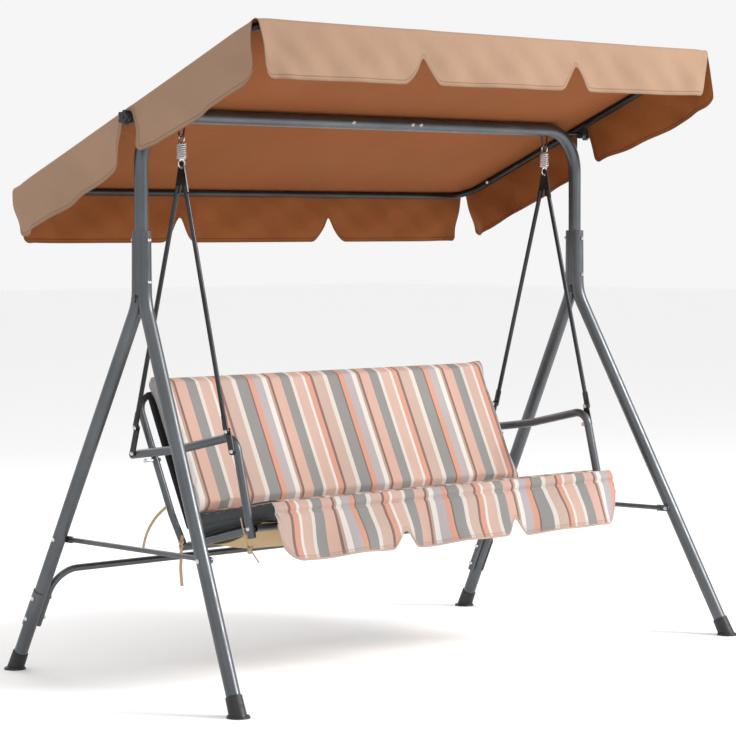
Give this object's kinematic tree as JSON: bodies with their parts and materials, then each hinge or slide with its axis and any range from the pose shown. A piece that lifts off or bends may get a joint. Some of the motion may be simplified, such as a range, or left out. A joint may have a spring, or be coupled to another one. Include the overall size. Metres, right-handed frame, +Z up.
{
  "type": "canopy swing bench",
  "caption": "Garden swing bench: a padded striped seat hangs on springs from a tubular stand under a tilting fabric canopy.",
  "frame": {"origin": "on the ground, under the middle of the top beam", "axes": "+X to the right seen from the front, the front faces -Y, +Z up"},
  "size_m": [2.058, 1.082, 1.7694],
  "materials": {
    "grey_steel": "semi-gloss blue-grey powder coat",
    "black_steel": "semi-gloss black powder coat",
    "zinc_steel": "bright zinc plate",
    "black_plastic": "moulded, lightly textured",
    "canopy_cloth": "coated woven polyester, tan brown",
    "tan_cloth": "woven sling cloth, khaki",
    "black_cloth": "woven sling cloth, black",
    "striped_cloth": "woven polyester with coral, grey and cream stripes"
  },
  "bodies": {
    "seat": {"armrest_left": "grey_steel", "armrest_right": "grey_steel", "back_cushion": "striped_cloth", "back_frame": "grey_steel", "back_sling": "black_cloth", "gusset_left": "black_steel", "gusset_right": "black_steel", "hanger_links": "black_steel", "hanger_rod_front_left": "black_steel", "hanger_rod_front_right": "black_steel", "hanger_rod_rear_left": "black_steel", "hanger_rod_rear_right": "black_steel", "seat_bolts": "zinc_steel", "seat_cushion": "striped_cloth", "seat_front_rail": "grey_steel", "seat_rear_rail": "grey_steel", "seat_side_left": "grey_steel", "seat_side_right": "grey_steel", "seat_skirt": "striped_cloth", "seat_sling": "tan_cloth", "tie_back_left": "tan_cloth", "tie_front_left": "tan_cloth", "tie_front_right": "tan_cloth", "tie_rear_left": "tan_cloth"},
    "frame": {"beam_left": "grey_steel", "beam_right": "grey_steel", "canopy_stud_left": "black_steel", "canopy_stud_right": "black_steel", "foot_front_left": "black_plastic", "foot_front_right": "black_plastic", "foot_rear_left": "black_plastic", "foot_rear_right": "black_plastic", "hook_left": "black_steel", "hook_right": "black_steel", "leg_front_left": "grey_steel", "leg_front_right": "grey_steel", "leg_rear_left": "grey_steel", "leg_rear_right": "grey_steel", "rear_bar": "grey_steel", "rear_clamps": "grey_steel", "side_bar_left": "grey_steel", "side_bar_right": "grey_steel", "stand_bolts": "zinc_steel"},
    "canopy": {"canopy_bracket_left": "black_plastic", "canopy_bracket_right": "black_plastic", "canopy_front_bar": "black_steel", "canopy_pins": "zinc_steel", "canopy_rear_bar": "black_steel", "canopy_side_left": "black_steel", "canopy_side_right": "black_steel", "canopy_top": "canopy_cloth", "valance_front": "canopy_cloth", "valance_left": "canopy_cloth", "valance_rear": "canopy_cloth", "valance_right": "canopy_cloth"},
    "knob_left": {"canopy_knob_left": "black_plastic"},
    "knob_right": {"canopy_knob_right": "black_plastic"},
    "swing": {"spring_left": "zinc_steel", "spring_right": "zinc_steel"}
  },
  "joints": [
    {"name": "swing_hinge", "type": "hinge", "parent": "frame", "child": "swing", "pos_m": [0, 0, 1.481], "axis": [1, 0, 0], "range_deg": [-15, 15]},
    {"name": "spring_bounce", "type": "slide", "parent": "swing", "child": "seat", "axis": [0, 0, 1], "range_m": [-0.03, 0], "stiffness_N_per_m": 20000, "springref_m": 0.03, "deforming": ["spring_left", "spring_right"]},
    {"name": "canopy_tilt", "type": "hinge", "parent": "frame", "child": "canopy", "pos_m": [0, 0, 1.527], "axis": [1, 0, 0], "range_deg": [-20, 22]},
    {"name": "knob_left_turn", "type": "hinge", "parent": "frame", "child": "knob_left", "pos_m": [-0.93, 0, 1.527], "axis": [1, 0, 0], "continuous": true},
    {"name": "knob_right_turn", "type": "hinge", "parent": "frame", "child": "knob_right", "pos_m": [0.93, 0, 1.527], "axis": [1, 0, 0], "continuous": true}
  ]
}
